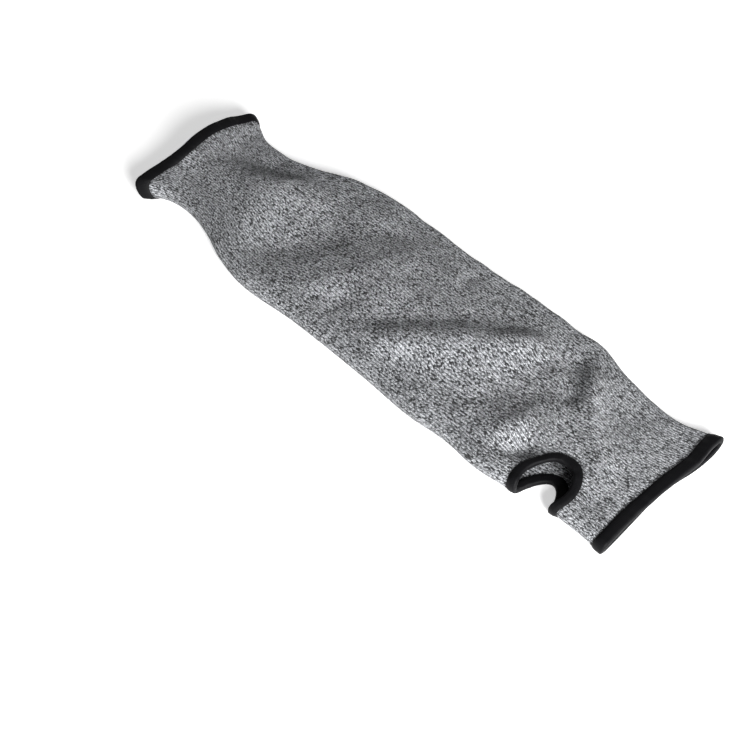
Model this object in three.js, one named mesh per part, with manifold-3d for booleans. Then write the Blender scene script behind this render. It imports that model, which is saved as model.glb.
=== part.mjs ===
// Cut-resistant knitted arm sleeve with a thumb hole, lying by itself on a flat surface. Millimetres, +Z up.
// +X runs to the hand opening, -Y is the folded edge with the thumb hole, and the sleeve rests on Z = 0.
import * as THREE from "three";
import { mergeVertices } from "three/addons/utils/BufferGeometryUtils.js";
import Module from "manifold-3d";

const wasm = await Module();
wasm.setup();

// Driving sizes
const SLEEVE_LENGTH = 400; // over both opening bindings
const HALF_WIDTH = 60; // each side of the middle line, at the widest part of the forearm
const LOFT = 17; // height of the upper layer over the surface
const FOLD_RADIUS = 5; // outer radius of the two folded edges
const KNIT_WALL = 1.4;
const ARM_BINDING_COVER = 7; // how far the binding reaches over the cloth from its cut edge
const HAND_BINDING_COVER = 6.5;
const THUMB_BINDING_COVER = 4.2;
const THUMB_BINDING_UNDER_COVER = 5.6; // the same on the lower layer
const BINDING_THICKNESS = 1; // of the tape on each face of the cloth
const SEAT_GAP = 0.3; // clearance between a binding and the cloth in it
const MOUTH_SETBACK = 10; // what the uneven edges of both openings are measured by
const THUMB_HOLE_LENGTH = 31; // cut in the cloth, along the sleeve
const THUMB_HOLE_DEPTH = 30; // from the fold over the upper layer
const THUMB_HOLE_UNDER_DEPTH = 21; // from the fold under the lower layer
const THUMB_HOLE_TO_HAND_END = 53.3; // from the hole's middle to the end of the sleeve
const THUMB_HOLE_WAIST = 8; // how much narrower the hole is at the fold than inside it

// Sections along the sleeve: at is a share of the length, the sides are shares of HALF_WIDTH,
// top a share of LOFT, fold a share of FOLD_RADIUS, lift a share of the height that the bindings need
const SECTIONS = [
  { at: 0.0, thumbSide: 0.87, farSide: 0.82, top: 0.98, fold: 1.1, lift: 1 },
  { at: 0.023, thumbSide: 0.77, farSide: 0.77, top: 0.99, fold: 1.1, lift: 1 },
  { at: 0.063, thumbSide: 0.68, farSide: 0.68, top: 0.95, fold: 1.05, lift: 0.3 },
  { at: 0.108, thumbSide: 0.67, farSide: 0.64, top: 1.0, fold: 1, lift: 0 },
  { at: 0.158, thumbSide: 0.75, farSide: 0.7, top: 1.02, fold: 1, lift: 0 },
  { at: 0.208, thumbSide: 0.88, farSide: 0.82, top: 1.0, fold: 1, lift: 0 },
  { at: 0.258, thumbSide: 0.96, farSide: 0.95, top: 0.97, fold: 1, lift: 0 },
  { at: 0.393, thumbSide: 0.94, farSide: 1.0, top: 1.0, fold: 1, lift: 0 },
  { at: 0.553, thumbSide: 0.96, farSide: 0.97, top: 1.0, fold: 1, lift: 0 },
  { at: 0.643, thumbSide: 0.99, farSide: 0.99, top: 0.97, fold: 1, lift: 0 },
  { at: 0.713, thumbSide: 0.96, farSide: 0.96, top: 0.94, fold: 1, lift: 0 },
  { at: 0.773, thumbSide: 1.0, farSide: 0.96, top: 0.91, fold: 1, lift: 0.7 },
  { at: 0.818, thumbSide: 0.975, farSide: 0.84, top: 0.87, fold: 1, lift: 1 },
  { at: 0.873, thumbSide: 0.89, farSide: 0.77, top: 0.82, fold: 0.95, lift: 1 },
  { at: 0.933, thumbSide: 0.88, farSide: 0.74, top: 0.81, fold: 0.9, lift: 1 },
  { at: 1.0, thumbSide: 0.89, farSide: 0.88, top: 0.8, fold: 0.9, lift: 1 },
];

// How far each opening's edge stands back from the sleeve's full length, as shares of MOUTH_SETBACK, on the upper
// layer and on the one under it: side runs across the opening from the thumb side (-1) to the far side (1)
const MOUTHS = [
  { side: -1.0, arm: 0, armUnder: 0.75, hand: 0.28, handUnder: 0.42 },
  { side: -0.6, arm: 0, armUnder: 0.45, hand: 0.32, handUnder: 0.48 },
  { side: -0.2, arm: 0.14, armUnder: 0.3, hand: 0.26, handUnder: 0.58 },
  { side: 0.2, arm: 0.02, armUnder: 0.2, hand: 0.12, handUnder: 0.48 },
  { side: 0.5, arm: 0.04, armUnder: 0.2, hand: 0.02, handUnder: 0.22 },
  { side: 0.8, arm: 0.2, armUnder: 0.4, hand: 0.18, handUnder: 0.1 },
  { side: 1.0, arm: 0.55, armUnder: 0.65, hand: 0.16, handUnder: 0.18 },
];

// Dents and soft ridges of the upper layer, each along a line from one point to another:
// x is a share of half the length, y and breadth of HALF_WIDTH, depth of LOFT, and a ridge's depth is negative
const FOLDS = [
  { fromX: -0.125, fromY: -0.75, toX: 0.315, toY: 0.55, breadth: 0.18, depth: 0.16 },
  { fromX: -0.015, fromY: -0.85, toX: 0.435, toY: 0.5, breadth: 0.2, depth: -0.12 },
  { fromX: 0.345, fromY: -0.65, toX: 0.565, toY: 0.2, breadth: 0.17, depth: 0.13 },
  { fromX: 0.505, fromY: 0.7, toX: 0.605, toY: 0.22, breadth: 0.13, depth: 0.12 },
  { fromX: -0.815, fromY: 0.2, toX: -0.555, toY: 0.7, breadth: 0.18, depth: 0.12 },
  { fromX: -0.475, fromY: -0.35, toX: -0.255, toY: -0.1, breadth: 0.3, depth: 0.1 },
  { fromX: -1.0, fromY: -0.3, toX: -0.815, toY: -0.45, breadth: 0.2, depth: 0.15 },
];

// Faceting
const FOLD_STEPS = 5; // in each quarter turn of a folded edge
const LAYER_STEPS = 14; // across the straight part of each layer
const LENGTH_STEPS = 40;
const ARCH_STEPS = 7; // in each quarter of the thumb hole, past the fold
const NOSE_STEPS = 4; // round a binding's outer edge
const CUTTER_RINGS = 6;

// Places that follow from the sizes
const BINDING_OVERHANG = SEAT_GAP + BINDING_THICKNESS;
const KNIT_LENGTH = SLEEVE_LENGTH - 2 * BINDING_OVERHANG;
const BINDING_LIFT = BINDING_THICKNESS + 2 * SEAT_GAP;
const ARM_COVER_SHARE = ARM_BINDING_COVER / KNIT_LENGTH;
const HAND_COVER_SHARE = 1 - HAND_BINDING_COVER / KNIT_LENGTH;
const THUMB_HOLE_X = SLEEVE_LENGTH / 2 - THUMB_HOLE_TO_HAND_END;
const MOUTH_FLARE = 0.09; // share of the length over which an opening's set-back fades out
const DOME_POWER = 1.3;
const RIM_POWER = 0.8; // below 1 squares the thumb hole's outline
const UNDER_RIM_POWER = 1.1; // above 1 narrows it towards its end
const WAIST_REACH = 0.35; // share of the hole's depth over which its waist fades out
const HALF_STATIONS = 2 * FOLD_STEPS + LAYER_STEPS;
const STATIONS = 2 * HALF_STATIONS;

const counted = (count) => Array.from({ length: count }, (_, index) => index);

function smoothStep(value) {
  return THREE.MathUtils.smoothstep(value, 0, 1);
}

// A column's slope at a row: the mean of the slopes beside it, weighted to the nearer row
function rowSlope(table, key, column, row) {
  const slope = (k) => (table[k + 1][column] - table[k][column]) / (table[k + 1][key] - table[k][key]);
  if (row === 0) return slope(0);
  if (row === table.length - 1) return slope(row - 1);
  const before = table[row][key] - table[row - 1][key];
  const after = table[row + 1][key] - table[row][key];
  return (slope(row) * before + slope(row - 1) * after) / (before + after);
}

// A column of a table at any place between its first and last row, on a smooth curve through its rows
function tableValue(table, key, column, place) {
  let row = 0;
  while (row < table.length - 2 && place >= table[row + 1][key]) row += 1;
  const span = table[row + 1][key] - table[row][key];
  const t = (place - table[row][key]) / span;
  const start = table[row][column];
  const end = table[row + 1][column];
  const leave = rowSlope(table, key, column, row) * span;
  const arrive = rowSlope(table, key, column, row + 1) * span;
  return (
    start * (2 * t ** 3 - 3 * t ** 2 + 1) +
    leave * (t ** 3 - 2 * t ** 2 + t) +
    end * (3 * t ** 2 - 2 * t ** 3) +
    arrive * (t ** 3 - t ** 2)
  );
}

function sectionAt(share) {
  const sectionValue = (column) => tableValue(SECTIONS, "at", column, share);
  const near = HALF_WIDTH * sectionValue("thumbSide");
  const far = HALF_WIDTH * sectionValue("farSide");
  const radius = FOLD_RADIUS * sectionValue("fold");
  return {
    near,
    far,
    radius,
    top: LOFT * sectionValue("top"),
    lift: BINDING_LIFT * Math.max(sectionValue("lift"), 0),
    quarter: (Math.PI / 2) * radius,
    flat: near + far - 2 * radius,
  };
}

// Signed depth of all dents and ridges at a place on the upper layer
function foldDepth(x, y) {
  let depth = 0;
  for (const fold of FOLDS) {
    const from = new THREE.Vector2((fold.fromX * SLEEVE_LENGTH) / 2, fold.fromY * HALF_WIDTH);
    const run = new THREE.Vector2((fold.toX * SLEEVE_LENGTH) / 2, fold.toY * HALF_WIDTH).sub(from);
    const place = new THREE.Vector2(x, y).sub(from);
    const reached = THREE.MathUtils.clamp(place.dot(run) / run.lengthSq(), 0, 1);
    const away = place.sub(run.multiplyScalar(reached)).length() / (fold.breadth * HALF_WIDTH);
    depth += fold.depth * LOFT * Math.exp(-(away ** 2));
  }
  return depth;
}

// How far an opening's edge stands back at a place across it, under counting from 0 above to 1 below
function mouthSetback(opening, side, under) {
  const place = THREE.MathUtils.clamp(side, -1, 1);
  const above = tableValue(MOUTHS, "side", opening, place);
  const below = tableValue(MOUTHS, "side", `${opening}Under`, place);
  return MOUTH_SETBACK * THREE.MathUtils.lerp(above, below, under);
}

// Outer face of the cloth. Around is the way along the cloth in millimetres from the fold on the thumb side,
// positive over the upper layer and negative under the lower one.
function outerPoint(around, share) {
  const { near, far, radius, top, lift, quarter, flat } = sectionAt(share);
  const way = Math.abs(around);
  const upper = around >= 0;
  let y = -near + radius + (way - quarter);
  let height = radius;
  if (way < quarter) {
    y = -near + radius - radius * Math.cos(way / radius);
    height = radius * Math.sin(way / radius);
  } else if (way > quarter + flat) {
    const turn = (way - quarter - flat) / radius;
    y = far - radius + radius * Math.sin(turn);
    height = radius * Math.cos(turn);
  }
  const across = THREE.MathUtils.clamp((way - quarter) / flat, 0, 1) * 2 - 1;
  const dome = Math.max(Math.cos((Math.PI / 2) * across), 0) ** DOME_POWER;
  const middleX = KNIT_LENGTH * (share - 0.5);
  let z = lift + radius - height;
  if (upper) {
    z = lift + radius + height + (top - lift - 2 * radius) * dome;
    z -= foldDepth(middleX, y) * smoothStep(dome * 1.6);
  }
  const side = y / (y < 0 ? near : far);
  const armFade = 1 - smoothStep(share / MOUTH_FLARE);
  const handFade = 1 - smoothStep((1 - share) / MOUTH_FLARE);
  const offFold = Math.min(way, 2 * quarter + flat - way) / quarter;
  const under = smoothStep(0.5 + (upper ? -offFold : offFold) * 0.6);
  const armSetback = armFade > 0 ? armFade * mouthSetback("arm", side, under) : 0;
  const handSetback = handFade > 0 ? handFade * mouthSetback("hand", side, under) : 0;
  return new THREE.Vector3(middleX + armSetback - handSetback, y, z);
}

// Outward normal of the cloth, from its slopes both ways
function outerNormal(around, share) {
  const reach = 0.3;
  const shareReach = reach / KNIT_LENGTH;
  const across = outerPoint(around + reach, share).sub(outerPoint(around - reach, share));
  const along = outerPoint(around, share + shareReach).sub(outerPoint(around, share - shareReach));
  return along.cross(across).normalize();
}

// A point of the cloth at a depth below its outer face
function clothPoint(around, share, depth) {
  return outerPoint(around, share).addScaledVector(outerNormal(around, share), -depth);
}

// Way round the cloth to a station: the folded edges get FOLD_STEPS each quarter turn, the layers LAYER_STEPS
function stationAround(station, share) {
  const { quarter, flat } = sectionAt(share);
  const step = station <= HALF_STATIONS ? station : STATIONS - station;
  const intoFirst = Math.min(step, FOLD_STEPS);
  const intoLayer = THREE.MathUtils.clamp(step - FOLD_STEPS, 0, LAYER_STEPS);
  const intoLast = Math.max(step - FOLD_STEPS - LAYER_STEPS, 0);
  const way = (quarter * (intoFirst + intoLast)) / FOLD_STEPS + (flat * intoLayer) / LAYER_STEPS;
  return station <= HALF_STATIONS ? way : -way;
}

// Closed ring of cells: place gives the point of each corner of the section at each station
function closedRing(stations, corners, place) {
  const positions = [];
  const index = [];
  for (let i = 0; i < stations; i += 1) {
    for (let j = 0; j < corners; j += 1) {
      positions.push(...place(i, j).toArray());
      const nextStation = ((i + 1) % stations) * corners;
      const nextCorner = (j + 1) % corners;
      const here = i * corners + j;
      index.push(here, nextStation + j, nextStation + nextCorner);
      index.push(here, nextStation + nextCorner, i * corners + nextCorner);
    }
  }
  return outwardGeometry(positions, index);
}

// Geometry with its faces pointing out, turned over if its volume comes out negative
function outwardGeometry(positions, index) {
  const corner = (k) => new THREE.Vector3(...positions.slice(3 * index[k], 3 * index[k] + 3));
  let volume = 0;
  for (let k = 0; k < index.length; k += 3) {
    volume += corner(k).dot(corner(k + 1).cross(corner(k + 2)));
  }
  const geometry = new THREE.BufferGeometry();
  geometry.setAttribute("position", new THREE.Float32BufferAttribute(positions, 3));
  geometry.setIndex(volume > 0 ? index : index.reverse());
  return geometry;
}

function asSolid(geometry) {
  const merged = mergeVertices(geometry);
  const mesh = new wasm.Mesh({
    numProp: 3,
    vertProperties: new Float32Array(merged.attributes.position.array),
    triVerts: new Uint32Array(merged.index.array),
  });
  return new wasm.Manifold(mesh);
}

function asGeometry(solid) {
  const mesh = solid.getMesh();
  const geometry = new THREE.BufferGeometry();
  geometry.setAttribute("position", new THREE.Float32BufferAttribute(mesh.vertProperties, 3));
  geometry.setIndex(Array.from(mesh.triVerts));
  return geometry;
}

// Shares of the length at which the tube has a row of points: the bindings' inner edges have rows of their own
function lengthRows() {
  const inner = counted(LENGTH_STEPS - 1).map(
    (row) => ARM_COVER_SHARE + (row / (LENGTH_STEPS - 2)) * (HAND_COVER_SHARE - ARM_COVER_SHARE)
  );
  return [0, ...inner, 1];
}

// The knitted tube before its thumb hole is cut
function knitTube() {
  const rows = lengthRows();
  const rim = [...rows.map((share) => [share, 0]), ...rows.toReversed().map((share) => [share, KNIT_WALL])];
  return closedRing(STATIONS, rim.length, (station, corner) => {
    const [share, depth] = rim[corner];
    return clothPoint(stationAround(station, share), share, depth);
  });
}

const signedPower = (value, power) => Math.sign(value) * Math.abs(value) ** power;

// Shape of the thumb hole on the upper layer, or on the one under it
const rimShape = (upper) =>
  upper
    ? { depth: THUMB_HOLE_DEPTH, power: RIM_POWER }
    : { depth: THUMB_HOLE_UNDER_DEPTH, power: UNDER_RIM_POWER };

// Rim of the thumb hole in the cloth: angle 0 is on the fold towards the hand, a quarter turn on the upper layer
function thumbRim(angle) {
  const { depth, power } = rimShape(Math.sin(angle) > 0);
  const around = depth * signedPower(Math.sin(angle), power);
  const fading = Math.max(around, 0) / (WAIST_REACH * THUMB_HOLE_DEPTH);
  const waist = (THUMB_HOLE_WAIST / 2) * Math.exp(-(fading ** 2));
  return { around, x: THUMB_HOLE_X + (THUMB_HOLE_LENGTH / 2 - waist) * signedPower(Math.cos(angle), power) };
}

const shareAtX = (x) => x / KNIT_LENGTH + 0.5;

// Angles round the thumb hole, on the fold at the tube's own stations
function thumbRimAngles() {
  const { quarter } = sectionAt(shareAtX(THUMB_HOLE_X));
  const onFold = counted(2 * FOLD_STEPS + 1).map((step) => {
    const way = quarter * (step / FOLD_STEPS - 1);
    const { depth, power } = rimShape(way > 0);
    return Math.asin(signedPower(way / depth, 1 / power));
  });
  const arch = (from, to) => counted(ARCH_STEPS).map((step) => from + ((to - from) * step) / ARCH_STEPS);
  const quarterTurn = Math.PI / 2;
  const handSide = [
    ...arch(-quarterTurn, onFold[0]),
    ...onFold.slice(0, -1),
    ...arch(onFold.at(-1), quarterTurn),
  ];
  return [...handSide, quarterTurn, ...handSide.slice(1).toReversed().map((angle) => Math.PI - angle)];
}

// Solid plug of the thumb hole's outline, through the cloth along its normal
function thumbHoleCutter() {
  const angles = thumbRimAngles();
  const margin = KNIT_WALL;
  const sheets = [-margin, KNIT_WALL + margin];
  const ringStart = (sheet, ring) => sheet * (1 + CUTTER_RINGS * angles.length) + 1 + (ring - 1) * angles.length;
  const positions = [];
  const index = [];
  for (const depth of sheets) {
    positions.push(...clothPoint(0, shareAtX(THUMB_HOLE_X), depth).toArray());
    for (let ring = 1; ring <= CUTTER_RINGS; ring += 1) {
      const part = ring / CUTTER_RINGS;
      for (const angle of angles) {
        const { around, x } = thumbRim(angle);
        const share = shareAtX(THUMB_HOLE_X + (x - THUMB_HOLE_X) * part);
        positions.push(...clothPoint(around * part, share, depth).toArray());
      }
    }
  }
  const quad = (a, b, c, d) => index.push(a, b, c, a, c, d);
  for (let k = 0; k < angles.length; k += 1) {
    const next = (k + 1) % angles.length;
    index.push(ringStart(0, 1) - 1, ringStart(0, 1) + k, ringStart(0, 1) + next);
    index.push(ringStart(1, 1) - 1, ringStart(1, 1) + next, ringStart(1, 1) + k);
    for (let ring = 1; ring < CUTTER_RINGS; ring += 1) {
      const [a, b] = [ringStart(0, ring), ringStart(0, ring + 1)];
      quad(a + k, b + k, b + next, a + next);
      const [c, d] = [ringStart(1, ring), ringStart(1, ring + 1)];
      quad(c + k, c + next, d + next, d + k);
    }
    const [upper, lower] = [ringStart(0, CUTTER_RINGS), ringStart(1, CUTTER_RINGS)];
    quad(upper + k, lower + k, lower + next, upper + next);
  }
  return outwardGeometry(positions, index);
}

// Section of a folded binding tape round the cloth's cut edge: into is the way into the cloth from that edge,
// out the height over the middle of the cloth, and cover how far the tape reaches
function bindingSection(cover) {
  const slot = KNIT_WALL / 2 + SEAT_GAP;
  const face = slot + BINDING_THICKNESS;
  const nose = counted(NOSE_STEPS + 1).map((step) => {
    const angle = (Math.PI * step) / NOSE_STEPS;
    return { into: -BINDING_OVERHANG * Math.sin(angle), out: face * Math.cos(angle) };
  });
  return [
    ...nose,
    { into: cover, out: -face },
    { into: cover, out: -slot },
    { into: -SEAT_GAP, out: -slot },
    { into: -SEAT_GAP, out: slot },
    { into: cover, out: slot },
    { into: cover, out: face },
  ];
}

// Binding of an opening, from the cloth's end at one share to its cover at another
function openingBinding(endShare, coverShare, cover) {
  const section = bindingSection(cover);
  return closedRing(STATIONS, section.length, (station, corner) => {
    const { into, out } = section[corner];
    const depth = KNIT_WALL / 2 - out;
    const atEnd = clothPoint(stationAround(station, endShare), endShare, depth);
    const atCover = clothPoint(stationAround(station, coverShare), coverShare, depth);
    return atEnd.lerp(atCover, into / cover);
  });
}

// Binding of the thumb hole, laid out square to the rim on the cloth and then bent with it round the fold
function thumbHoleBinding() {
  const section = bindingSection(THUMB_BINDING_COVER);
  const angles = thumbRimAngles();
  const turn = 0.01;
  return closedRing(angles.length, section.length, (station, corner) => {
    const angle = angles[station];
    const here = thumbRim(angle);
    const [before, after] = [thumbRim(angle - turn), thumbRim(angle + turn)];
    const run = new THREE.Vector2(after.x - before.x, after.around - before.around).normalize();
    const below = smoothStep(-here.around / (Math.PI * FOLD_RADIUS));
    const underCover = THUMB_BINDING_UNDER_COVER / THUMB_BINDING_COVER;
    const reach = section[corner].into > 0 ? THREE.MathUtils.lerp(1, underCover, below) : 1;
    const into = section[corner].into * reach;
    const share = shareAtX(here.x + into * run.y);
    return clothPoint(here.around - into * run.x, share, KNIT_WALL / 2 - section[corner].out);
  });
}

const knit = new THREE.MeshStandardMaterial({ color: 0x84878a, roughness: 0.95, metalness: 0 });
const tape = new THREE.MeshStandardMaterial({ color: 0x17181a, roughness: 0.6, metalness: 0 });

function named(name, geometry, material) {
  const mesh = new THREE.Mesh(geometry, material);
  mesh.name = name;
  return mesh;
}

const knitWithHole = asSolid(knitTube()).subtract(asSolid(thumbHoleCutter()));

const sleeve = new THREE.Group();
sleeve.add(named("sleeve_body", asGeometry(knitWithHole), knit));
sleeve.add(named("arm_opening_binding", openingBinding(0, ARM_COVER_SHARE, ARM_BINDING_COVER), tape));
sleeve.add(named("hand_opening_binding", openingBinding(1, HAND_COVER_SHARE, HAND_BINDING_COVER), tape));
sleeve.add(named("thumb_hole_binding", thumbHoleBinding(), tape));

// The origin is the middle of the sleeve's box, on the surface that it lies on
const box = new THREE.Box3().setFromObject(sleeve);
const middle = box.getCenter(new THREE.Vector3());
sleeve.position.set(-middle.x, -middle.y, -box.min.z);

export default sleeve;
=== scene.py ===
"""Knitted cut-resistant arm sleeve with a thumb hole, lying flat. Metres, +Z up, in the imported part's frame.

The shape functions work in millimetres, as the cloth is made, and the meshes are scaled to metres."""
import math

import bpy
import numpy as np
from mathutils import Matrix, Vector


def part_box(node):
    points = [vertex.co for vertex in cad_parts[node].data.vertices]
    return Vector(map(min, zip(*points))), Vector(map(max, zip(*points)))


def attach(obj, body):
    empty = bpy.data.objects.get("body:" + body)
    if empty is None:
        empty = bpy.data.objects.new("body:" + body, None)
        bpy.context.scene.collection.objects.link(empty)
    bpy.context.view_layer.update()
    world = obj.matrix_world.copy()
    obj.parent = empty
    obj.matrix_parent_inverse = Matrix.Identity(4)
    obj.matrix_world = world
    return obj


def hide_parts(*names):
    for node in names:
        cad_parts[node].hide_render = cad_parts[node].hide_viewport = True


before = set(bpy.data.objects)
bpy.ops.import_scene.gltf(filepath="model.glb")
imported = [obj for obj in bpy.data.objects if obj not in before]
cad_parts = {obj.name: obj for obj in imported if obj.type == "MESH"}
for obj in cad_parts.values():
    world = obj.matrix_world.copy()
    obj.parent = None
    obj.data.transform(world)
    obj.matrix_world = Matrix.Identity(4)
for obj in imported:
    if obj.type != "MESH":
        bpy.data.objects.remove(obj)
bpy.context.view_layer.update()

MM = 0.001

# Sizes of the sleeve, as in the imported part
SLEEVE_LENGTH = 400
HALF_WIDTH = 60
LOFT = 17
FOLD_RADIUS = 5
KNIT_WALL = 1.4
ARM_BINDING_COVER = 7
HAND_BINDING_COVER = 6.5
THUMB_BINDING_COVER = 4.2
BINDING_THICKNESS = 1
SEAT_GAP = 0.3
THUMB_BINDING_UNDER_COVER = 5.6
MOUTH_SETBACK = 10
THUMB_HOLE_LENGTH = 31
THUMB_HOLE_DEPTH = 30
THUMB_HOLE_UNDER_DEPTH = 21
THUMB_HOLE_TO_HAND_END = 53.3
THUMB_HOLE_WAIST = 8

SECTIONS = [
    dict(at=0.0, thumb_side=0.87, far_side=0.82, top=0.98, fold=1.1, lift=1),
    dict(at=0.023, thumb_side=0.77, far_side=0.77, top=0.99, fold=1.1, lift=1),
    dict(at=0.063, thumb_side=0.68, far_side=0.68, top=0.95, fold=1.05, lift=0.3),
    dict(at=0.108, thumb_side=0.67, far_side=0.64, top=1.0, fold=1, lift=0),
    dict(at=0.158, thumb_side=0.75, far_side=0.7, top=1.02, fold=1, lift=0),
    dict(at=0.208, thumb_side=0.88, far_side=0.82, top=1.0, fold=1, lift=0),
    dict(at=0.258, thumb_side=0.96, far_side=0.95, top=0.97, fold=1, lift=0),
    dict(at=0.393, thumb_side=0.94, far_side=1.0, top=1.0, fold=1, lift=0),
    dict(at=0.553, thumb_side=0.96, far_side=0.97, top=1.0, fold=1, lift=0),
    dict(at=0.643, thumb_side=0.99, far_side=0.99, top=0.97, fold=1, lift=0),
    dict(at=0.713, thumb_side=0.96, far_side=0.96, top=0.94, fold=1, lift=0),
    dict(at=0.773, thumb_side=1.0, far_side=0.96, top=0.91, fold=1, lift=0.7),
    dict(at=0.818, thumb_side=0.975, far_side=0.84, top=0.87, fold=1, lift=1),
    dict(at=0.873, thumb_side=0.89, far_side=0.77, top=0.82, fold=0.95, lift=1),
    dict(at=0.933, thumb_side=0.88, far_side=0.74, top=0.81, fold=0.9, lift=1),
    dict(at=1.0, thumb_side=0.89, far_side=0.88, top=0.8, fold=0.9, lift=1),
]

# How far each opening's edge stands back from the sleeve's full length, across it from the thumb side (-1)
# to the far side (1), in shares of MOUTH_SETBACK, for the upper layer and the one under it
MOUTHS = [
    dict(side=-1.0, arm=0, arm_under=0.75, hand=0.28, hand_under=0.42),
    dict(side=-0.6, arm=0, arm_under=0.45, hand=0.32, hand_under=0.48),
    dict(side=-0.2, arm=0.14, arm_under=0.3, hand=0.26, hand_under=0.58),
    dict(side=0.2, arm=0.02, arm_under=0.2, hand=0.12, hand_under=0.48),
    dict(side=0.5, arm=0.04, arm_under=0.2, hand=0.02, hand_under=0.22),
    dict(side=0.8, arm=0.2, arm_under=0.4, hand=0.18, hand_under=0.1),
    dict(side=1.0, arm=0.55, arm_under=0.65, hand=0.16, hand_under=0.18),
]

# Dents and soft ridges of the upper layer: x in shares of half the length, y and breadth of HALF_WIDTH,
# depth of LOFT
FOLDS = [
    dict(start=(-0.125, -0.75), end=(0.315, 0.55), breadth=0.18, depth=0.16),
    dict(start=(-0.015, -0.85), end=(0.435, 0.5), breadth=0.2, depth=-0.12),
    dict(start=(0.345, -0.65), end=(0.565, 0.2), breadth=0.17, depth=0.13),
    dict(start=(0.505, 0.7), end=(0.605, 0.22), breadth=0.13, depth=0.12),
    dict(start=(-0.815, 0.2), end=(-0.555, 0.7), breadth=0.18, depth=0.12),
    dict(start=(-0.475, -0.35), end=(-0.255, -0.1), breadth=0.3, depth=0.1),
    dict(start=(-1.0, -0.3), end=(-0.815, -0.45), breadth=0.2, depth=0.15),
]

# Finer dents and ridges that only the visible cloth has, in the same units
WRINKLES = [
    dict(start=(-0.04, -0.85), end=(0.36, 0.3), breadth=0.3, depth=-0.19),
    dict(start=(-0.1, -0.5), end=(0.26, 0.42), breadth=0.19, depth=-0.1),
    dict(start=(0.08, -0.85), end=(0.29, -0.5), breadth=0.2, depth=0.15),
    dict(start=(0.41, -0.1), end=(0.5, 0.75), breadth=0.2, depth=0.24),
    dict(start=(0.58, 0.78), end=(0.62, 0.4), breadth=0.15, depth=-0.2),
    dict(start=(0.65, 0.2), end=(0.8, -0.22), breadth=0.15, depth=-0.17),
    dict(start=(0.47, -0.85), end=(0.56, -0.35), breadth=0.13, depth=-0.14),
    dict(start=(-0.87, 0.37), end=(-0.78, 0.37), breadth=0.2, depth=0.1),
    dict(start=(-0.68, 0.1), end=(-0.59, 0.33), breadth=0.22, depth=-0.18),
    dict(start=(-0.5, -0.85), end=(-0.42, 0.1), breadth=0.34, depth=0.3),
    dict(start=(-0.22, -0.9), end=(-0.14, -0.45), breadth=0.2, depth=0.2),
    dict(start=(-0.33, 0.1), end=(-0.26, 0.5), breadth=0.22, depth=0.12),
    dict(start=(-1.0, -0.2), end=(-1.0, 0.6), breadth=0.22, depth=-0.17),
    dict(start=(-0.01, 0.82), end=(0.02, 0.5), breadth=0.15, depth=-0.1),
    dict(start=(-0.22, -0.2), end=(-0.17, 0.05), breadth=0.16, depth=-0.1),
    dict(start=(0.83, -0.95), end=(0.87, -0.66), breadth=0.11, depth=0.36),
    dict(start=(0.57, -1.0), end=(0.61, -0.58), breadth=0.12, depth=0.36),
]

# Values that follow from the sizes
BINDING_OVERHANG = SEAT_GAP + BINDING_THICKNESS
KNIT_LENGTH = SLEEVE_LENGTH - 2 * BINDING_OVERHANG
BINDING_LIFT = BINDING_THICKNESS + 2 * SEAT_GAP
THUMB_HOLE_X = SLEEVE_LENGTH / 2 - THUMB_HOLE_TO_HAND_END

# Shares and powers of the curves
MOUTH_FLARE = 0.09
DOME_POWER = 1.3
RIM_POWER = 0.8
UNDER_RIM_POWER = 1.1
WAIST_REACH = 0.35

# Slight unevenness of the cloth's upper side: height and wavelength
UNEVENNESS = [
    dict(height=0.45, wavelength=38, seed=3),
    dict(height=0.22, wavelength=15, seed=5),
]

# The make-up of knit, tape and sewing
WALES = 124
COURSE_PITCH = 1.35
TAPE_RIB_PITCH = 0.9
TAPE_WEFT_PITCH = 0.55
OPENING_SEAM_LENGTH = 218
THUMB_SEAM_LENGTH = 130
STITCH_PITCH = 1.9
STITCH_LEAN = 0.35
STITCH_TO_TAPE = 0.5
STITCH_OVER_KNIT = 0.1
STITCH_SIZES = {"Stitch length": 2.6 * MM, "Arch": 0.4 * MM, "Thread radius": 0.22 * MM}

# The tape's folded edge: how thick it ends, how far its inner corner reaches and the gaps to the cloth
TAPE_LIP = 0.5
TAPE_LIP_REACH = 0.22
TAPE_LIP_STEP = 0.2
TAPE_EDGE_GAP = 0.04
TAPE_SLOT_EASE = 0.08
TAPE_SIDE_STEPS = 6
TAPE_NOSE_STEPS = 10

# The meshes' fineness
ROUND_CELLS = 176
LENGTH_CELLS = 272
RING_CELLS = 264
THUMB_RING_CELLS = 168


def smooth_step(value):
    value = np.clip(value, 0, 1)
    return value * value * (3 - 2 * value)


def table_value(table, key, column, place):
    """A column of a table at any place between its first and last row, on a smooth curve through its rows."""
    at = np.array([row[key] for row in table])
    value = np.array([row[column] for row in table], dtype=float)
    span = np.diff(at)
    chord = np.diff(value) / span
    slope = np.empty_like(value)
    slope[0], slope[-1] = chord[0], chord[-1]
    slope[1:-1] = (chord[1:] * span[:-1] + chord[:-1] * span[1:]) / (span[1:] + span[:-1])
    row = np.clip(np.searchsorted(at, place, side="right") - 1, 0, len(at) - 2)
    t = (place - at[row]) / span[row]
    return (
        value[row] * (2 * t**3 - 3 * t**2 + 1)
        + slope[row] * span[row] * (t**3 - 2 * t**2 + t)
        + value[row + 1] * (3 * t**2 - 2 * t**3)
        + slope[row + 1] * span[row] * (t**3 - t**2)
    )


def section_value(column, share):
    return table_value(SECTIONS, "at", column, share)


def mouth_setback(opening, side, under):
    """How far an opening's edge stands back at a place across it, under counting from 0 above to 1 below."""
    side = np.clip(side, -1, 1)
    above = table_value(MOUTHS, "side", opening, side)
    below = table_value(MOUTHS, "side", opening + "_under", side)
    return MOUTH_SETBACK * (above + (below - above) * under)


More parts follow.
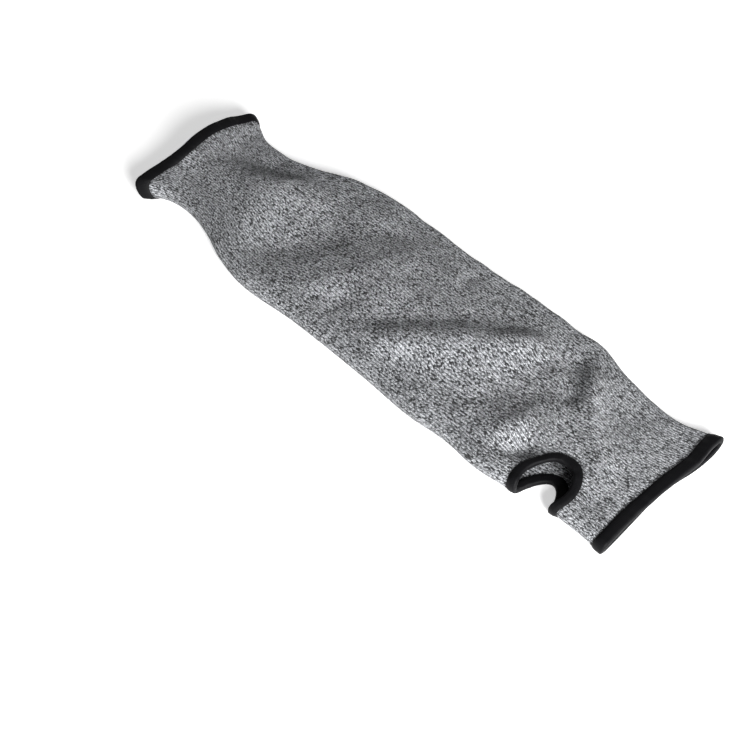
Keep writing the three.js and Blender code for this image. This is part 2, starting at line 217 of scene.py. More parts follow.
def girth_at(share):
    sides = section_value("thumb_side", share) + section_value("far_side", share)
    radius = FOLD_RADIUS * section_value("fold", share)
    return 2 * math.pi * radius + 2 * (HALF_WIDTH * sides - 2 * radius)


def fold_depth(x, y):
    """Signed depth of all dents and ridges at a place on the upper layer."""
    scale = np.array([SLEEVE_LENGTH / 2, HALF_WIDTH])
    place = np.stack([x, y], -1)
    depth = np.zeros(x.shape)
    for fold in FOLDS + WRINKLES:
        start, end = np.array(fold["start"]) * scale, np.array(fold["end"]) * scale
        run = end - start
        reached = np.clip((place - start) @ run / (run @ run), 0, 1)
        away = np.linalg.norm(place - start - reached[..., None] * run, axis=-1)
        depth += fold["depth"] * LOFT * np.exp(-((away / (fold["breadth"] * HALF_WIDTH)) ** 2))
    return depth


def outer_point(around, share):
    """Outer face of the cloth: around is the way along it from the thumb side's fold, negative under the
    sleeve."""
    around, share = np.broadcast_arrays(np.asarray(around, float), np.asarray(share, float))
    near = HALF_WIDTH * section_value("thumb_side", share)
    far = HALF_WIDTH * section_value("far_side", share)
    radius = FOLD_RADIUS * section_value("fold", share)
    top = LOFT * section_value("top", share)
    lift = BINDING_LIFT * np.maximum(section_value("lift", share), 0)
    quarter = math.pi / 2 * radius
    flat = near + far - 2 * radius
    girth = 4 * quarter + 2 * flat
    around = (around + girth / 2) % girth - girth / 2
    way = np.abs(around)
    upper = around >= 0
    into_fold = np.minimum(way, quarter) / radius
    past_layer = np.maximum(way - quarter - flat, 0) / radius
    on_layer = np.clip(way - quarter, 0, flat)
    y = -near + radius - radius * np.cos(into_fold) + on_layer + radius * np.sin(past_layer)
    height = radius * np.where(past_layer > 0, np.cos(past_layer), np.sin(into_fold))
    dome = np.maximum(np.cos(math.pi / 2 * (2 * on_layer / flat - 1)), 0) ** DOME_POWER
    middle_x = KNIT_LENGTH * (share - 0.5)
    raised = lift + radius + height + (top - lift - 2 * radius) * dome
    raised -= fold_depth(middle_x, y) * smooth_step(dome * 1.6)
    z = np.where(upper, raised, lift + radius - height)
    side = y / np.where(y < 0, near, far)
    arm_fade = 1 - smooth_step(share / MOUTH_FLARE)
    hand_fade = 1 - smooth_step((1 - share) / MOUTH_FLARE)
    off_fold = np.minimum(way, girth / 2 - way) / quarter
    under = smooth_step(0.5 + np.where(upper, -off_fold, off_fold) * 0.6)
    arm_setback = arm_fade * mouth_setback("arm", side, under)
    hand_setback = hand_fade * mouth_setback("hand", side, under)
    return np.stack([middle_x + arm_setback - hand_setback, y, z], -1)


def outer_normal(around, share):
    reach = 0.4
    ahead = reach / KNIT_LENGTH
    along = outer_point(around, share + ahead) - outer_point(around, share - ahead)
    across = outer_point(around + reach, share) - outer_point(around - reach, share)
    normal = np.cross(along, across)
    return normal / np.linalg.norm(normal, axis=-1, keepdims=True)


def soft_waves(points, wavelength, seed, count=24):
    """Smooth seeded unevenness between about -1 and 1: the sum of plane waves in all directions."""
    rng = np.random.default_rng(seed)
    direction = rng.normal(size=(count, 3))
    direction /= np.linalg.norm(direction, axis=1, keepdims=True)
    pace = 2 * math.pi / (wavelength * rng.uniform(0.7, 1.4, count))
    phase = rng.uniform(0, 2 * math.pi, count)
    total = np.zeros(points.shape[:-1])
    for k in range(count):
        total += np.cos(points @ (direction[k] * pace[k]) + phase[k])
    return total * math.sqrt(2 / count) / 1.6


def cloth_point(around, share, depth):
    """A point of the cloth at a depth below its outer face, with the cloth's slight unevenness."""
    base = outer_point(around, share)
    normal = outer_normal(around, share)
    upward = smooth_step((normal[..., 2] + 0.4) / 0.8)
    waves = sum(row["height"] * soft_waves(base, row["wavelength"], row["seed"]) for row in UNEVENNESS)
    return base + normal * (upward * waves - depth)[..., None]


# Meshes and pieces


def add_object(name, points, faces, material, uv=None):
    """A mesh object at the origin from points in millimetres; uv has a row for each corner of each face."""
    mesh = bpy.data.meshes.new(name)
    mesh.from_pydata((np.asarray(points) * MM + FRAME_SHIFT).tolist(), [], [list(map(int, f)) for f in faces])
    if uv is not None:
        layer = mesh.uv_layers.new(name="UVMap")
        layer.data.foreach_set("uv", np.asarray(uv, dtype=np.float32).ravel())
    mesh.polygons.foreach_set("use_smooth", [True] * len(mesh.polygons))
    mesh.materials.append(material)
    mesh.update()
    obj = bpy.data.objects.new(name, mesh)
    bpy.context.collection.objects.link(obj)
    return obj


def share_at(x):
    return x / KNIT_LENGTH + 0.5


def hole_waist(around):
    return THUMB_HOLE_WAIST / 2 * np.exp(-((np.maximum(around, 0) / (WAIST_REACH * THUMB_HOLE_DEPTH)) ** 2))


def hole_measure(around, x):
    """Under 1 inside the thumb hole's rim, 1 on it, and growing in step with the way from its middle."""
    above = around > 0
    power = np.where(above, RIM_POWER, UNDER_RIM_POWER)
    across = np.abs(around) / np.where(above, THUMB_HOLE_DEPTH, THUMB_HOLE_UNDER_DEPTH)
    along = np.abs((x - THUMB_HOLE_X) / (THUMB_HOLE_LENGTH / 2 - hole_waist(around)))
    return (across ** (2 / power) + along ** (2 / power)) ** (power / 2)


def knit_body(material):
    """The knitted tube as one closed shell, with the thumb hole left out of its grid."""
    share, turn = np.meshgrid(
        np.linspace(0, 1, LENGTH_CELLS + 1), np.arange(ROUND_CELLS) / ROUND_CELLS, indexing="ij"
    )
    around = (turn - (turn > 0.5)) * girth_at(share)
    x = KNIT_LENGTH * (share - 0.5)
    near_hole = (np.abs(around) < 2 * THUMB_HOLE_DEPTH) & (np.abs(x - THUMB_HOLE_X) < THUMB_HOLE_LENGTH)
    measure = np.where(near_hole, hole_measure(around, x), 9)

    i, j = np.meshgrid(np.arange(LENGTH_CELLS), np.arange(ROUND_CELLS), indexing="ij")
    next_j = (j + 1) % ROUND_CELLS
    corner_i = np.stack([i, i + 1, i + 1, i], -1).reshape(-1, 4)
    corner_j = np.stack([j, j, next_j, next_j], -1).reshape(-1, 4)
    quads = corner_i * ROUND_CELLS + corner_j
    cut = measure.ravel()[quads].mean(axis=1) < 1
    on_rim = np.intersect1d(quads[cut], quads[~cut])
    around, x = around.ravel(), x.ravel()
    for _ in range(4):
        pull = 1 / hole_measure(around[on_rim], x[on_rim])
        around[on_rim] *= pull
        x[on_rim] = THUMB_HOLE_X + (x[on_rim] - THUMB_HOLE_X) * pull
    quads = quads[~cut]

    outer = cloth_point(around, share_at(x), 0)
    inner = cloth_point(around, share_at(x), KNIT_WALL)
    kept, renumbered = np.unique(quads, return_inverse=True)
    quads = renumbered.reshape(quads.shape)
    size = len(kept)
    edges = np.stack([quads, np.roll(quads, -1, axis=1)], -1).reshape(-1, 2)
    code = edges[:, 0] * size + edges[:, 1]
    rim = edges[~np.isin(code, edges[:, 1] * size + edges[:, 0])]
    rim_quads = np.stack([rim[:, 1], rim[:, 0], rim[:, 0] + size, rim[:, 1] + size], -1)
    faces = np.vstack([quads, quads[:, ::-1] + size, rim_quads])

    wale = np.stack([j, j, j + 1, j + 1], -1).reshape(-1, 4)[~cut] * WALES / ROUND_CELLS
    course = corner_i[~cut] * KNIT_LENGTH / LENGTH_CELLS / COURSE_PITCH
    uv = np.stack([wale, course], -1)
    rim_uv = np.zeros((len(rim_quads), 4, 2))
    uv = np.vstack([uv, uv[:, ::-1], rim_uv])
    points = np.vstack([outer[kept], inner[kept]])
    return add_object("knit_sleeve", points, faces, material, uv.reshape(-1, 2))


def tape_section(cover):
    """Half-round section of the folded tape: into is the way into the cloth from its cut edge, out the height
    over the cloth's middle."""
    slot = KNIT_WALL / 2 + SEAT_GAP
    face = slot + BINDING_THICKNESS
    edge_slot = KNIT_WALL / 2 + TAPE_EDGE_GAP
    lip = edge_slot + TAPE_LIP
    side = []
    for step in range(TAPE_SIDE_STEPS + 1):
        part = step / TAPE_SIDE_STEPS
        rise = math.sin(math.pi / 2 * min(1, part / 0.5))
        side.append((cover * (1 - part), lip + (face - lip) * rise))
    nose = []
    for step in range(1, TAPE_NOSE_STEPS):
        angle = math.pi / 2 - math.pi * step / TAPE_NOSE_STEPS
        nose.append((-BINDING_OVERHANG * math.cos(angle), face * math.sin(angle)))
    under = [(into, -out) for into, out in reversed(side)]
    edge = [(cover + TAPE_LIP_REACH, edge_slot + TAPE_LIP_STEP), (cover, edge_slot)]
    slot_side = [(0.5 * cover, slot - TAPE_SLOT_EASE), (-SEAT_GAP, slot)]
    inside = [(into, -out) for into, out in reversed(edge)]
    slot_under = [(into, -out) for into, out in slot_side]
    return side + nose + under + inside[::-1] + slot_under + slot_side[::-1] + edge[::-1]


def ring_faces(stations, corners):
    i, j = np.meshgrid(np.arange(stations), np.arange(corners), indexing="ij")
    next_i, next_j = (i + 1) % stations, (j + 1) % corners
    return np.stack(
        [i * corners + j, i * corners + next_j, next_i * corners + next_j, next_i * corners + j], -1
    ).reshape(-1, 4)


def ring_uv(stations, corners, ribs, across):
    """Corner by corner: ribs counted along the ring, and the way round the section in millimetres."""
    i, j = np.meshgrid(np.arange(stations), np.arange(corners), indexing="ij")
    along = np.stack([i, i, i + 1, i + 1], -1) * ribs / stations
    round_section = np.append(across, across[-1] + 1)
    around = np.stack([round_section[j], round_section[j + 1], round_section[j + 1], round_section[j]], -1)
    return np.stack([along, around], -1).reshape(-1, 2)


def enclosed_volume(points, quads):
    """Volume inside a closed mesh of quads, negative where its faces point inwards."""
    a, b, c, d = (points[quads[:, corner]] for corner in range(4))
    return (np.cross(a, b) * c + np.cross(a, c) * d).sum() / 6


def tape_ring(name, place, stations, cover, seed, material):
    """A closed ring of folded tape: place gives the point for a station, a way into the cloth and a height.
    The tape swells and its edges wander a little, more slowly at its inner edge."""
    section = np.array(tape_section(cover))
    station = np.arange(stations)
    spine = place(station, np.zeros(stations), np.zeros(stations))
    swell = 0.1 * soft_waves(spine, 11, seed) + 0.06 * soft_waves(spine, 4, seed + 1)
    slack = 0.25 * soft_waves(spine, 22, seed + 2)
    into, out = (np.broadcast_to(column, (stations, len(section))) for column in section.T)
    outside = np.abs(out) > KNIT_WALL / 2 + SEAT_GAP + 0.2
    out = out * np.where(outside, 1 + swell[:, None], 1)
    nose_slack = np.where(into < 0, slack[:, None] * 0.5, 0)
    edge_slack = np.where(into > cover - 0.1, slack[:, None], 0)
    into = into + nose_slack + edge_slack
    where = np.broadcast_to(station[:, None], into.shape)
    points = place(where.ravel(), into.ravel(), out.ravel())
    length = np.linalg.norm(spine - np.roll(spine, -1, axis=0), axis=1).sum()
    across = np.append(0, np.cumsum(np.linalg.norm(np.diff(section, axis=0), axis=1)))
    uv = ring_uv(stations, len(section), round(length / TAPE_RIB_PITCH), across)
    faces = ring_faces(stations, len(section))
    if enclosed_volume(points, faces) < 0:
        faces = faces[:, ::-1]
        uv = uv.reshape(-1, 4, 2)[:, ::-1].reshape(-1, 2)
    return add_object(name, points, faces, material, uv)


def opening_place(end_share, cover, stations):
    """Place function of the tape at the arm's end (share 0) or the hand's end (share 1) of the cloth."""
    turn = np.arange(stations) / stations
    cover_share = end_share + (1 - 2 * end_share) * cover / KNIT_LENGTH

    def place(station, into, out):
        share = end_share + (cover_share - end_share) * into / cover
        on_cloth = np.clip(share, 0, 1)
        around = (turn[station] - (turn[station] > 0.5)) * girth_at(on_cloth)
        point = cloth_point(around, on_cloth, KNIT_WALL / 2 - out)
        past = (share - on_cloth) * KNIT_LENGTH
        point[..., 0] += past
        return point

    return place


def thumb_rim(angle):
    above = np.sin(angle) > 0
    power = np.where(above, RIM_POWER, UNDER_RIM_POWER)
    depth = np.where(above, THUMB_HOLE_DEPTH, THUMB_HOLE_UNDER_DEPTH)
    around = depth * np.sign(np.sin(angle)) * np.abs(np.sin(angle)) ** power
    along = np.sign(np.cos(angle)) * np.abs(np.cos(angle)) ** power
    return around, THUMB_HOLE_X + (THUMB_HOLE_LENGTH / 2 - hole_waist(around)) * along


def thumb_rim_stations(stations):
    """Points evenly spaced round the thumb hole's rim, and the run of the rim there, in the cloth's plane."""
    fine = np.linspace(0, 2 * math.pi, 4001)
    around, x = thumb_rim(fine)
    way = np.append(0, np.cumsum(np.hypot(np.diff(around), np.diff(x))))
    even = np.linspace(0, way[-1], stations, endpoint=False)
    around, x = np.interp(even, way, around), np.interp(even, way, x)
    run = np.stack([np.roll(x, -1) - np.roll(x, 1), np.roll(around, -1) - np.roll(around, 1)], -1)
    return around, x, run / np.linalg.norm(run, axis=1, keepdims=True)


def thumb_place(stations):
    """Place function of the thumb hole's tape, whose inner edge reaches further under the sleeve."""
    around, x, run = thumb_rim_stations(stations)
    below = smooth_step(-around / (math.pi * FOLD_RADIUS))
    reach = 1 + (THUMB_BINDING_UNDER_COVER / THUMB_BINDING_COVER - 1) * below

    def place(station, into, out):
        into = np.where(into > 0, into * reach[station], into)
        share = share_at(x[station] + into * run[station, 1])
        return cloth_point(around[station] - into * run[station, 0], share, KNIT_WALL / 2 - out)

    return place


# Materials


def new_material(name):
    material = bpy.data.materials.new(name)
    material.use_nodes = True
    return material, material.node_tree, material.node_tree.nodes["Principled BSDF"]


def node(tree, kind, values=(), **settings):
    """A node with its settings, and values for its input sockets by name or number. An output socket given
    as a value makes a link."""
    made = tree.nodes.new(kind)
    for key, setting in settings.items():
        setattr(made, key, setting)
    for key, value in dict(values).items():
        target = made.inputs[key]
        if isinstance(value, bpy.types.NodeSocket):
            tree.links.new(value, target)
        else:
            target.default_value = value
    return made


def maths(tree, operation, *values, clamp=False):
    made = node(tree, "ShaderNodeMath", dict(enumerate(values)), operation=operation, use_clamp=clamp)
    return made.outputs[0]


def new_group(name, inputs, outputs):
    """A shader node group; inputs and outputs are (name, kind, default) and (name, kind)."""
    group = bpy.data.node_groups.new(name, "ShaderNodeTree")
    for socket_name, kind, default in inputs:
        socket = group.interface.new_socket(socket_name, in_out="INPUT", socket_type=kind)
        socket.default_value = default
    for socket_name, kind in outputs:
        group.interface.new_socket(socket_name, in_out="OUTPUT", socket_type=kind)
    start = group.nodes.new("NodeGroupInput")
    end = group.nodes.new("NodeGroupOutput")
    return group, start, end


def knit_stitch_group():
    """Plain knit on a map with one unit a wale across and one unit a course along: each stitch has two
    slanting legs. Gives the relief, the depth of the grooves for painted shade and a seeded value for each
    leg."""
    group, start, end = new_group(
        "Knit stitches",
        [("Map", "NodeSocketVector", (0, 0, 0)), ("Slant", "NodeSocketFloat", 0.9)],
        [("Relief", "NodeSocketFloat"), ("Leg value", "NodeSocketFloat"), ("Painted groove shade", "NodeSocketFloat")],
    )
    split = node(group, "ShaderNodeSeparateXYZ", {0: start.outputs["Map"]})
    wale, course = split.outputs[0], split.outputs[1]
    across = maths(group, "FRACT", wale)
    side = maths(group, "ABSOLUTE", maths(group, "MULTIPLY_ADD", across, 2.0, -1.0))
    row = maths(group, "MULTIPLY_ADD", side, start.outputs["Slant"], course)
    in_row = maths(group, "FRACT", row)
    row_round = maths(group, "SINE", maths(group, "MULTIPLY", in_row, math.pi))
    leg_across = maths(group, "PINGPONG", maths(group, "MULTIPLY", across, 2.0), 0.5)
    leg_round = maths(group, "SINE", maths(group, "MULTIPLY", leg_across, math.pi))
    leg_round = maths(group, "MULTIPLY_ADD", leg_round, 0.4, 0.6)
    row_round = maths(group, "MULTIPLY_ADD", row_round, 0.5, 0.5)
    between = maths(group, "POWER", side, 2.2)
    relief = maths(group, "MULTIPLY", row_round, leg_round)
    relief = maths(group, "MULTIPLY", relief, maths(group, "MULTIPLY_ADD", between, -0.95, 1.0))
    cell = node(
        group,
        "ShaderNodeCombineXYZ",
        {
            0: maths(group, "FLOOR", maths(group, "MULTIPLY", wale, 2.0)),
            1: maths(group, "FLOOR", row),
        },
    )
    chance = node(group, "ShaderNodeTexWhiteNoise", {"Vector": cell.outputs[0]}, noise_dimensions="3D")
    group.links.new(relief, end.inputs["Relief"])
    group.links.new(chance.outputs["Value"], end.inputs["Leg value"])
    group.links.new(maths(group, "SUBTRACT", 1.0, relief, clamp=True), end.inputs["Painted groove shade"])
    return group


def fibre_group():
    """Fine stray fibre texture in object space, for anything spun or woven."""
    group, start, end = new_group(
        "Fibres",
        [("Scale", "NodeSocketFloat", 1500.0), ("Stretch", "NodeSocketVector", (1, 1, 1))],
        [("Value", "NodeSocketFloat")],
    )
    place = node(group, "ShaderNodeTexCoord")
    stretched = node(
        group, "ShaderNodeVectorMath", {0: place.outputs["Object"], 1: start.outputs["Stretch"]},
        operation="MULTIPLY",
    )
    noise = node(
        group,
        "ShaderNodeTexNoise",
        {"Vector": stretched.outputs[0], "Scale": start.outputs["Scale"], "Detail": 3.0, "Roughness": 0.7},
    )
    group.links.new(noise.outputs["Fac"], end.inputs["Value"])
    return group


def colour_ramp(tree, value, stops):
    ramp = node(tree, "ShaderNodeValToRGB", {"Fac": value})
    points = ramp.color_ramp.elements
    while len(points) < len(stops):
        points.new(0.5)
    for point, (position, colour) in zip(points, stops):
        point.position = position
        point.color = (*colour, 1)
    return ramp.outputs["Color"]


def knit_material(stitches, fibres):
    """Melange knit: white, grey and black strands spun together, with painted shade darkening the grooves."""
    material, tree, shader = new_material("melange_knit")
    uv = node(tree, "ShaderNodeUVMap", uv_map="UVMap")
    wobble = node(tree, "ShaderNodeTexNoise", {"Vector": uv.outputs[0], "Scale": 0.35, "Detail": 2.0})
    shift = node(
        tree,
        "ShaderNodeVectorMath",
        {0: wobble.outputs["Color"], 1: (0.5, 0.5, 0.5)},
        operation="SUBTRACT",
    )
    moved = node(
        tree,
        "ShaderNodeVectorMath",
        {0: shift.outputs[0], 1: (0.3, 0.9, 0.0), 2: uv.outputs[0]},
        operation="MULTIPLY_ADD",
    )
    stitch = node(tree, "ShaderNodeGroup", {}, node_tree=stitches)
    tree.links.new(moved.outputs[0], stitch.inputs["Map"])
    fibre = node(tree, "ShaderNodeGroup", {}, node_tree=fibres)
    fibre.inputs["Scale"].default_value = 900.0

    drawn = node(tree, "ShaderNodeVectorMath", {0: uv.outputs[0], 1: (2.3, 0.85, 1.0)}, operation="MULTIPLY")
    strand = node(
        tree,
        "ShaderNodeTexNoise",
        {"Vector": drawn.outputs[0], "Scale": 1.0, "Detail": 3.0, "Roughness": 0.75, "Distortion": 0.2},
    )
    patch = node(tree, "ShaderNodeTexNoise", {"Vector": uv.outputs[0], "Scale": 0.16, "Detail": 2.0})
    mix = maths(tree, "MULTIPLY_ADD", stitch.outputs["Leg value"], 0.36, -0.18)
    mix = maths(tree, "ADD", mix, maths(tree, "MULTIPLY_ADD", strand.outputs["Fac"], 2.2, -0.63))
    dark_fleck = maths(tree, "LESS_THAN", stitch.outputs["Leg value"], 0.13)
    mix = maths(tree, "MULTIPLY_ADD", dark_fleck, -0.4, mix)
    mix = maths(tree, "ADD", mix, maths(tree, "MULTIPLY_ADD", patch.outputs["Fac"], 0.3, -0.15))
    mix = maths(tree, "ADD", mix, maths(tree, "MULTIPLY_ADD", fibre.outputs["Value"], 0.6, -0.3))
    colour = colour_ramp(
        tree,
        mix,
        [
            (0.14, (0.012, 0.0125, 0.0135)),
            (0.34, (0.1, 0.103, 0.109)),
            (0.54, (0.29, 0.298, 0.314)),
            (0.8, (0.55, 0.564, 0.59)),
        ],
    )
    # Painted shade: the colour is darkened in the grooves between stitches and lifted on the stitch tops
    painted_groove_shade = maths(tree, "MULTIPLY_ADD", stitch.outputs["Painted groove shade"], -1.25, 1.45)
    colour_with_painted_shade = node(tree, "ShaderNodeVectorMath", {0: colour, "Scale": painted_groove_shade}, operation="SCALE")
    tree.links.new(colour_with_painted_shade.outputs[0], shader.inputs["Base Color"])

    height = maths(tree, "MULTIPLY_ADD", fibre.outputs["Value"], 0.35, stitch.outputs["Relief"])
    bump = node(tree, "ShaderNodeBump", {"Height": height, "Strength": 1.0, "Distance": 0.5 * MM})
    tree.links.new(bump.outputs[0], shader.inputs["Normal"])
    shader.inputs["Roughness"].default_value = 0.92
    shader.inputs["Specular IOR Level"].default_value = 0.25
    shader.inputs["Sheen Weight"].default_value = 0.12
    shader.inputs["Sheen Roughness"].default_value = 0.6
    return material


def tape_material(fibres):
    """Black elastic tape: fine ribs across it with painted shade between them, a soft sheen and a little lint.
    """
    material, tree, shader = new_material("black_tape")
    uv = node(tree, "ShaderNodeUVMap", uv_map="UVMap")
    split = node(tree, "ShaderNodeSeparateXYZ", {0: uv.outputs[0]})
    rib = maths(tree, "SINE", maths(tree, "MULTIPLY", split.outputs[0], 2 * math.pi))
    cross = maths(tree, "SINE", maths(tree, "MULTIPLY", split.outputs[1], 2 * math.pi / TAPE_WEFT_PITCH))
    weave = maths(tree, "ADD", maths(tree, "MULTIPLY", rib, 0.5), maths(tree, "MULTIPLY", cross, 0.3))
    fibre = node(tree, "ShaderNodeGroup", {}, node_tree=fibres)
    fibre.inputs["Scale"].default_value = 1400.0
    lint = maths(tree, "POWER", fibre.outputs["Value"], 5.0)
    # The colour follows the weave's height, lighter on the ribs and darker between them: painted shade
    colour = colour_ramp(
        tree,
        maths(tree, "MULTIPLY_ADD", weave, 0.12, maths(tree, "MULTIPLY_ADD", lint, 1.2, 0.3)),
        [(0.2, (0.002, 0.002, 0.0024)), (0.5, (0.005, 0.005, 0.0058)), (0.9, (0.016, 0.016, 0.018))],
    )
    tree.links.new(colour, shader.inputs["Base Color"])
    rough = maths(tree, "MULTIPLY_ADD", fibre.outputs["Value"], 0.25, 0.42)
    tree.links.new(rough, shader.inputs["Roughness"])
    height = maths(tree, "MULTIPLY_ADD", fibre.outputs["Value"], 0.7, weave)
    bump = node(tree, "ShaderNodeBump", {"Height": height, "Strength": 0.5, "Distance": 0.12 * MM})
    tree.links.new(bump.outputs[0], shader.inputs["Normal"])
    shader.inputs["Specular IOR Level"].default_value = 0.1
    shader.inputs["Sheen Weight"].default_value = 0.008
    shader.inputs["Sheen Roughness"].default_value = 0.4
    return material


def thread_material(fibres):
    """Black sewing thread with a fine twist."""
    material, tree, shader = new_material("black_thread")
    fibre = node(tree, "ShaderNodeGroup", {}, node_tree=fibres)
    fibre.inputs["Scale"].default_value = 2500.0
    colour = colour_ramp(
        tree, fibre.outputs["Value"], [(0.3, (0.008, 0.008, 0.009)), (0.7, (0.03, 0.03, 0.032))]
    )
    tree.links.new(colour, shader.inputs["Base Color"])
    bump = node(
        tree, "ShaderNodeBump", {"Height": fibre.outputs["Value"], "Strength": 0.4, "Distance": 0.1 * MM}
    )
    tree.links.new(bump.outputs[0], shader.inputs["Normal"])
    shader.inputs["Roughness"].default_value = 0.6
    return material


# Sewing


def stitch_tree():
    """Geometry Nodes: one arched thread on each point, laid along into_cloth and bulging along off_cloth."""
    tree = bpy.data.node_groups.new("Sewn stitches", "GeometryNodeTree")
    face = tree.interface
    face.new_socket("Geometry", in_out="INPUT", socket_type="NodeSocketGeometry")
    for name, default in (("Stitch length", 2.4 * MM), ("Arch", 0.5 * MM), ("Thread radius", 0.2 * MM)):
        face.new_socket(name, in_out="INPUT", socket_type="NodeSocketFloat").default_value = default
    face.new_socket("Thread", in_out="INPUT", socket_type="NodeSocketMaterial")
    face.new_socket("Geometry", in_out="OUTPUT", socket_type="NodeSocketGeometry")
    start = tree.nodes.new("NodeGroupInput")
    end = tree.nodes.new("NodeGroupOutput")

    half = maths(tree, "MULTIPLY", start.outputs["Stitch length"], 0.5)
    back = maths(tree, "MULTIPLY", start.outputs["Stitch length"], -0.5)
    sunk = maths(tree, "MULTIPLY", start.outputs["Thread radius"], -1.2)
    peak = maths(tree, "MULTIPLY", start.outputs["Arch"], 2.0)
    first = node(tree, "ShaderNodeCombineXYZ", {0: back, 2: sunk})
    middle = node(tree, "ShaderNodeCombineXYZ", {2: peak})
    last = node(tree, "ShaderNodeCombineXYZ", {0: half, 2: sunk})
    arch = node(
        tree,
        "GeometryNodeCurveQuadraticBezier",
        {"Resolution": 5, "Start": first.outputs[0], "Middle": middle.outputs[0], "End": last.outputs[0]},
    )
    ring = node(
        tree, "GeometryNodeCurvePrimitiveCircle", {"Resolution": 6, "Radius": start.outputs["Thread radius"]}
    )
    thread = node(
        tree,
        "GeometryNodeCurveToMesh",
        {"Curve": arch.outputs[0], "Profile Curve": ring.outputs[0], "Fill Caps": True},
    )
    off = node(tree, "GeometryNodeInputNamedAttribute", {"Name": "off_cloth"}, data_type="FLOAT_VECTOR")
    into = node(tree, "GeometryNodeInputNamedAttribute", {"Name": "into_cloth"}, data_type="FLOAT_VECTOR")
    stand = node(tree, "FunctionNodeAlignRotationToVector", {"Vector": off.outputs["Attribute"]}, axis="Z")
    turn = node(
        tree,
        "FunctionNodeAlignRotationToVector",
        {"Rotation": stand.outputs[0], "Vector": into.outputs["Attribute"]},
        axis="X",
        pivot_axis="Z",
    )
    placed = node(
        tree,
        "GeometryNodeInstanceOnPoints",
        {"Points": start.outputs["Geometry"], "Instance": thread.outputs[0], "Rotation": turn.outputs[0]},
    )
    real = node(tree, "GeometryNodeRealizeInstances", {"Geometry": placed.outputs[0]})
    dressed = node(
        tree, "GeometryNodeSetMaterial", {"Geometry": real.outputs[0], "Material": start.outputs["Thread"]}
    )
    tree.links.new(dressed.outputs[0], end.inputs["Geometry"])
    return tree


def sew(name, tree, points, into_cloth, off_cloth, thread, settings):
    """Stitches on the points as one plain mesh; settings are the tree's sizes by socket name."""
    seats = bpy.data.meshes.new(name + "_seats")
    seats.from_pydata((points * MM + FRAME_SHIFT).tolist(), [], [])
    for key, vectors in (("into_cloth", into_cloth), ("off_cloth", off_cloth)):
        seats.attributes.new(key, "FLOAT_VECTOR", "POINT").data.foreach_set("vector", vectors.ravel())
    carrier = bpy.data.objects.new(name + "_seats", seats)
    bpy.context.collection.objects.link(carrier)
    modifier = carrier.modifiers.new("Sewn stitches", "NODES")
    modifier.node_group = tree
    for item in tree.interface.items_tree:
        if item.in_out == "INPUT" and item.name in settings:
            modifier[item.identifier] = settings[item.name]
        if item.in_out == "INPUT" and item.name == "Thread":
            modifier[item.identifier] = thread
    graph = bpy.context.evaluated_depsgraph_get()
    mesh = bpy.data.meshes.new_from_object(carrier.evaluated_get(graph), depsgraph=graph)
    mesh.name = name
    if thread.name not in mesh.materials:
        mesh.materials.clear()
        mesh.materials.append(thread)
    mesh.polygons.foreach_set("use_smooth", [True] * len(mesh.polygons))
    sewn = bpy.data.objects.new(name, mesh)
    bpy.context.collection.objects.link(sewn)
    bpy.data.objects.remove(carrier)
    return sewn


def edge_seats(place, stations, into, out):
    """Seats along a ring at one way into the cloth, with the directions into and off the cloth there."""
    station = np.arange(stations)
    ones = np.ones(stations)
    point = place(station, into * ones, out * ones)
    ahead = place(station, (into + 0.5) * ones, out * ones) - point
    off = place(station, into * ones, (out + 0.5) * ones) - point
    unit = [v / np.linalg.norm(v, axis=1, keepdims=True) for v in (ahead, off)]
    return point, unit[0], unit[1]


# The object

own_y = outer_point(np.linspace(-120, 120, 400)[:, None], np.linspace(0, 1, 200)[None, :])[..., 1]
low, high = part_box("sleeve_body")
FRAME_SHIFT = np.array([0, ((low[1] + high[1]) - (own_y.min() + own_y.max()) * MM) / 2, 0])

stitches, fibres = knit_stitch_group(), fibre_group()
knit = knit_material(stitches, fibres)
tape = tape_material(fibres)
thread = thread_material(fibres)

sleeve = knit_body(knit)



def arm_place(stations):
    return opening_place(0, ARM_BINDING_COVER, stations)


def hand_place(stations):
    return opening_place(1, HAND_BINDING_COVER, stations)


arm_tape = tape_ring("arm_tape", arm_place(RING_CELLS), RING_CELLS, ARM_BINDING_COVER, 11, tape)
hand_tape = tape_ring("hand_tape", hand_place(RING_CELLS), RING_CELLS, HAND_BINDING_COVER, 21, tape)
thumb_tape = tape_ring(
    "thumb_tape", thumb_place(THUMB_RING_CELLS), THUMB_RING_CELLS, THUMB_BINDING_COVER, 31, tape
)

stitch_nodes = stitch_tree()
sewn = []
for name, place_for, seam_length, cover in (
    ("arm_stitches", arm_place, OPENING_SEAM_LENGTH, ARM_BINDING_COVER),
    ("hand_stitches", hand_place, OPENING_SEAM_LENGTH, HAND_BINDING_COVER),
    ("thumb_stitches", thumb_place, THUMB_SEAM_LENGTH, THUMB_BINDING_COVER),
):
    count = 2 * round(seam_length / STITCH_PITCH / 2)
    point, into_cloth, off_cloth = edge_seats(
        place_for(count), count, cover + STITCH_TO_TAPE, KNIT_WALL / 2 + STITCH_OVER_KNIT
    )
    lean = np.where(np.arange(count) % 2, STITCH_LEAN, -STITCH_LEAN)[:, None]
    into_cloth = into_cloth + lean * np.cross(off_cloth, into_cloth)
    into_cloth /= np.linalg.norm(into_cloth, axis=1, keepdims=True)
    sewn.append(sew(name, stitch_nodes, point, into_cloth, off_cloth, thread, STITCH_SIZES))

for piece, cad_node, finish in (
    (sleeve, "sleeve_body", "knit"),
    (arm_tape, "arm_opening_binding", "binding_tape"),
    (hand_tape, "hand_opening_binding", "binding_tape"),
    (thumb_tape, "thumb_hole_binding", "binding_tape"),
):
    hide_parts(cad_node)
    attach(piece, "root")
for piece in sewn:
    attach(piece, "root")
mean_girth = float(np.mean(girth_at(np.linspace(0, 1, 101))))

# Stage, camera and light

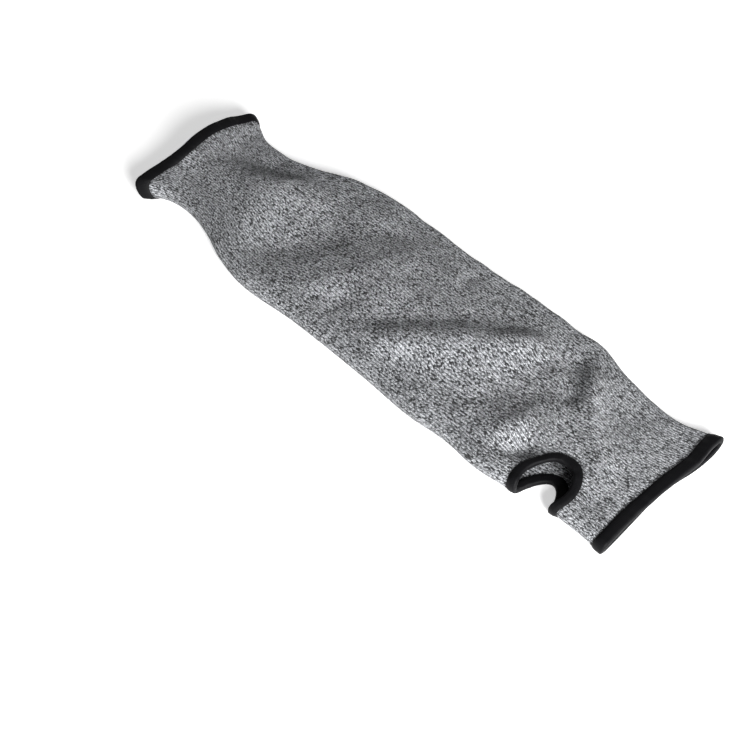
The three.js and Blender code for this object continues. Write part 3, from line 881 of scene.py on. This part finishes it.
FLOOR_SIZE = 60
paper, _, paper_shader = new_material("white_paper")
paper_shader.inputs["Base Color"].default_value = (0.93, 0.93, 0.93, 1)
paper_shader.inputs["Roughness"].default_value = 0.9
paper_shader.inputs["Emission Color"].default_value = (1, 1, 1, 1)
paper_shader.inputs["Emission Strength"].default_value = 0.5

bpy.ops.mesh.primitive_plane_add(size=FLOOR_SIZE)
floor = bpy.context.object
floor.name = "floor"
floor.data.materials.append(paper)

VIEW_TARGET = Vector((19.3, -48.8, 0)) * MM
VIEW_DISTANCE = 0.9023
VIEW_HEADING = math.radians(134.7)
VIEW_DOWN = math.radians(51.0)
LENS = 72.8
SENSOR_WIDTH = 36
forward = Vector(
    (
        math.cos(VIEW_HEADING) * math.cos(VIEW_DOWN),
        math.sin(VIEW_HEADING) * math.cos(VIEW_DOWN),
        -math.sin(VIEW_DOWN),
    )
)
camera_data = bpy.data.cameras.new("camera")
camera_data.lens = LENS
camera_data.sensor_width = SENSOR_WIDTH
camera = bpy.data.objects.new("camera", camera_data)
camera.location = VIEW_TARGET - forward * VIEW_DISTANCE
camera.rotation_mode = "QUATERNION"
camera.rotation_quaternion = forward.to_track_quat("-Z", "Y")
bpy.context.collection.objects.link(camera)
bpy.context.scene.camera = camera


def area_light(name, towards, distance, size, power):
    """A round light that shines on the origin from a direction."""
    light = bpy.data.lights.new(name, "AREA")
    light.shape = "DISK"
    light.size = size
    light.energy = power
    obj = bpy.data.objects.new(name, light)
    direction = Vector(towards).normalized()
    obj.location = direction * distance
    obj.rotation_mode = "QUATERNION"
    obj.rotation_quaternion = (-direction).to_track_quat("-Z", "Y")
    bpy.context.collection.objects.link(obj)


area_light("key", towards=(0.92, -0.38, 0.43), distance=1.4, size=0.7, power=51)
area_light("fill", towards=(-0.4, 0.9, 1.0), distance=1.6, size=1.2, power=1.5)

world = bpy.data.worlds.new("soft_white")
world.use_nodes = True
background = world.node_tree.nodes["Background"]
background.inputs["Color"].default_value = (1, 1, 1, 1)
background.inputs["Strength"].default_value = 0.12
bpy.context.scene.world = world
bpy.context.scene.view_settings.view_transform = "Standard"
